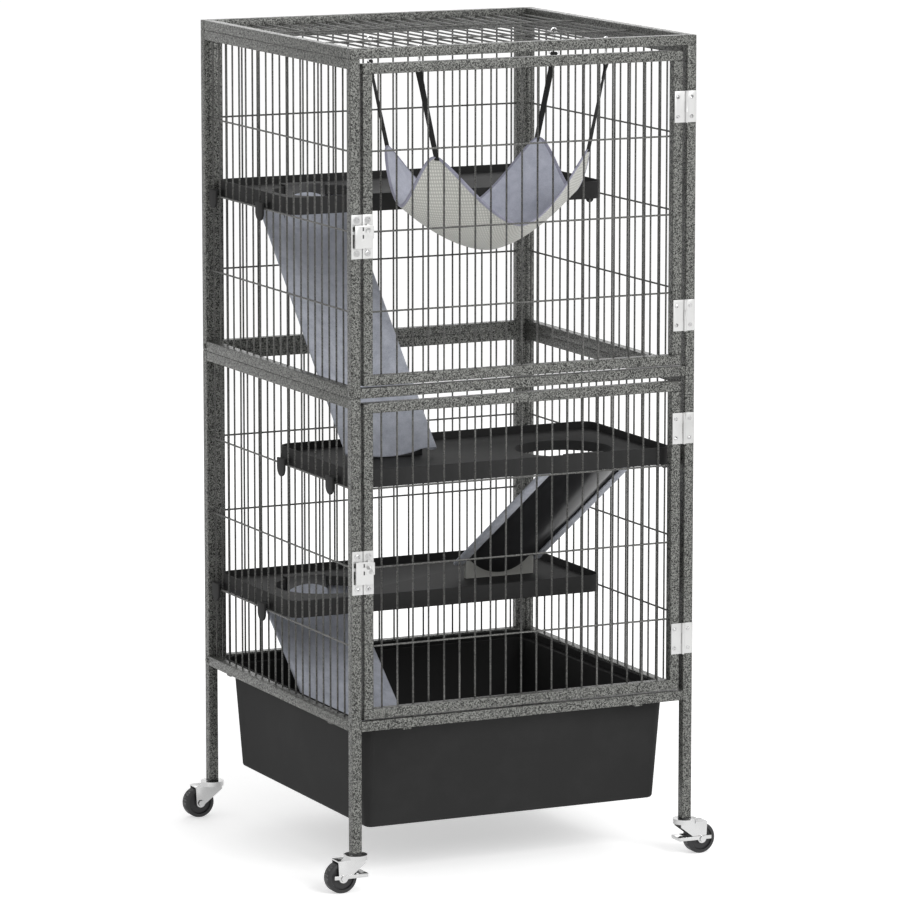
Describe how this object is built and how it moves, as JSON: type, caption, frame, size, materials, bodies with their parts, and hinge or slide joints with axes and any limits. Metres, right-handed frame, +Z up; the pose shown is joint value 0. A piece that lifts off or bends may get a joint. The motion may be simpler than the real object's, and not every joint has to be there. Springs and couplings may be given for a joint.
{
  "type": "small animal cage",
  "caption": "Two-storey wire cage on swivel casters, with two latched doors, base pan, three shelves joined by ramps, and a hung hammock.",
  "frame": {"origin": "on the floor, under the middle of the cage", "axes": "+Z up, -Y towards the doors' side, +X to the right seen from the front"},
  "size_m": [0.686, 0.618, 1.3278],
  "materials": {
    "frame_paint": "hammertone, dark grey",
    "wire_paint": "hammertone, grey",
    "zinc": "zinc plated, satin",
    "steel": "bright",
    "nylon": "black, matt",
    "shelf_plastic": "black, matt",
    "pan_plastic": "black, satin",
    "ramp_plastic": "black, semi-gloss",
    "fleece": "brushed fleece, blue-grey",
    "hammock_fabric": "fleece inside, mesh weave outside",
    "webbing": "black webbing",
    "chrome": "bright",
    "wheel_rubber": "black, satin"
  },
  "bodies": {
    "cage": {"lower_left_frame": "frame_paint", "lower_right_frame": "frame_paint", "lower_back_frame": "frame_paint", "upper_left_frame": "frame_paint", "upper_right_frame": "frame_paint", "upper_back_frame": "frame_paint", "roof_frame": "frame_paint", "front_rails": "frame_paint", "lower_left_grille": "wire_paint", "lower_right_grille": "wire_paint", "lower_back_grille": "wire_paint", "upper_left_grille": "wire_paint", "upper_right_grille": "wire_paint", "upper_back_grille": "wire_paint", "roof_grille": "wire_paint", "post_hinge_leaves": "zinc", "hinge_pins": "steel", "latch_keepers": "zinc", "post_fixings": "steel", "frame_screws": "frame_paint", "post_spigots": "nylon", "base_pan": "pan_plastic", "pan_lugs": "frame_paint", "upper_shelf": "shelf_plastic", "middle_shelf": "shelf_plastic", "lower_shelf": "shelf_plastic", "upper_ramp": "ramp_plastic", "middle_ramp": "ramp_plastic", "lower_ramp": "ramp_plastic", "ramp_covers": "fleece", "hammock": "hammock_fabric", "hammock_straps": "webbing", "hammock_hooks": "steel", "caster_sockets": "nylon"},
    "lower_door": {"lower_door_frame": "frame_paint", "lower_door_grille": "wire_paint", "lower_door_hinge_leaves": "zinc", "lower_latch_plate": "zinc", "lower_door_fixings": "steel"},
    "upper_door": {"upper_door_frame": "frame_paint", "upper_door_grille": "wire_paint", "upper_door_hinge_leaves": "zinc", "upper_latch_plate": "zinc", "upper_door_fixings": "steel"},
    "lower_latch": {"lower_latch_slider": "zinc"},
    "upper_latch": {"upper_latch_slider": "zinc"},
    "front_left_swivel": {"front_left_fork": "chrome", "front_left_axle": "chrome"},
    "front_right_swivel": {"front_right_fork": "chrome", "front_right_axle": "chrome"},
    "back_left_swivel": {"back_left_fork": "chrome", "back_left_axle": "chrome"},
    "back_right_swivel": {"back_right_fork": "chrome", "back_right_axle": "chrome"},
    "front_left_roller": {"front_left_wheel": "wheel_rubber"},
    "front_right_roller": {"front_right_wheel": "wheel_rubber"},
    "back_left_roller": {"back_left_wheel": "wheel_rubber"},
    "back_right_roller": {"back_right_wheel": "wheel_rubber"},
    "front_left_pedal": {"front_left_brake": "chrome"},
    "front_right_pedal": {"front_right_brake": "chrome"}
  },
  "joints": [
    {"name": "lower_door_hinge", "type": "hinge", "parent": "cage", "child": "lower_door", "pos_m": [0.2815, -0.3005, 0.5253], "axis": [0, 0, 1], "range_deg": [0, 170]},
    {"name": "upper_door_hinge", "type": "hinge", "parent": "cage", "child": "upper_door", "pos_m": [0.2815, -0.3005, 1.0533], "axis": [0, 0, 1], "range_deg": [0, 170]},
    {"name": "lower_latch_slide", "type": "slide", "parent": "lower_door", "child": "lower_latch", "axis": [0, 0, 1], "range_m": [0, 0.01]},
    {"name": "upper_latch_slide", "type": "slide", "parent": "upper_door", "child": "upper_latch", "axis": [0, 0, 1], "range_m": [0, 0.01]},
    {"name": "front_left_swivel", "type": "hinge", "parent": "cage", "child": "front_left_swivel", "pos_m": [-0.292, -0.29, 0.06], "axis": [0, 0, 1], "continuous": true},
    {"name": "front_right_swivel", "type": "hinge", "parent": "cage", "child": "front_right_swivel", "pos_m": [0.292, -0.29, 0.06], "axis": [0, 0, 1], "continuous": true},
    {"name": "back_left_swivel", "type": "hinge", "parent": "cage", "child": "back_left_swivel", "pos_m": [-0.292, 0.29, 0.06], "axis": [0, 0, 1], "continuous": true},
    {"name": "back_right_swivel", "type": "hinge", "parent": "cage", "child": "back_right_swivel", "pos_m": [0.292, 0.29, 0.06], "axis": [0, 0, 1], "continuous": true},
    {"name": "front_left_wheel_spin", "type": "hinge", "parent": "front_left_swivel", "child": "front_left_roller", "pos_m": [-0.318, -0.29, 0.025], "axis": [0, 1, 0], "continuous": true},
    {"name": "front_right_wheel_spin", "type": "hinge", "parent": "front_right_swivel", "child": "front_right_roller", "pos_m": [0.318, -0.29, 0.025], "axis": [0, 1, 0], "continuous": true},
    {"name": "back_left_wheel_spin", "type": "hinge", "parent": "back_left_swivel", "child": "back_left_roller", "pos_m": [-0.318, 0.29, 0.025], "axis": [0, 1, 0], "continuous": true},
    {"name": "back_right_wheel_spin", "type": "hinge", "parent": "back_right_swivel", "child": "back_right_roller", "pos_m": [0.318, 0.29, 0.025], "axis": [0, 1, 0], "continuous": true},
    {"name": "front_left_brake_press", "type": "hinge", "parent": "front_left_swivel", "child": "front_left_pedal", "pos_m": [-0.318, -0.29, 0.025], "axis": [0, 1, 0], "range_deg": [0, 15]},
    {"name": "front_right_brake_press", "type": "hinge", "parent": "front_right_swivel", "child": "front_right_pedal", "pos_m": [0.318, -0.29, 0.025], "axis": [0, -1, 0], "range_deg": [0, 15]}
  ]
}
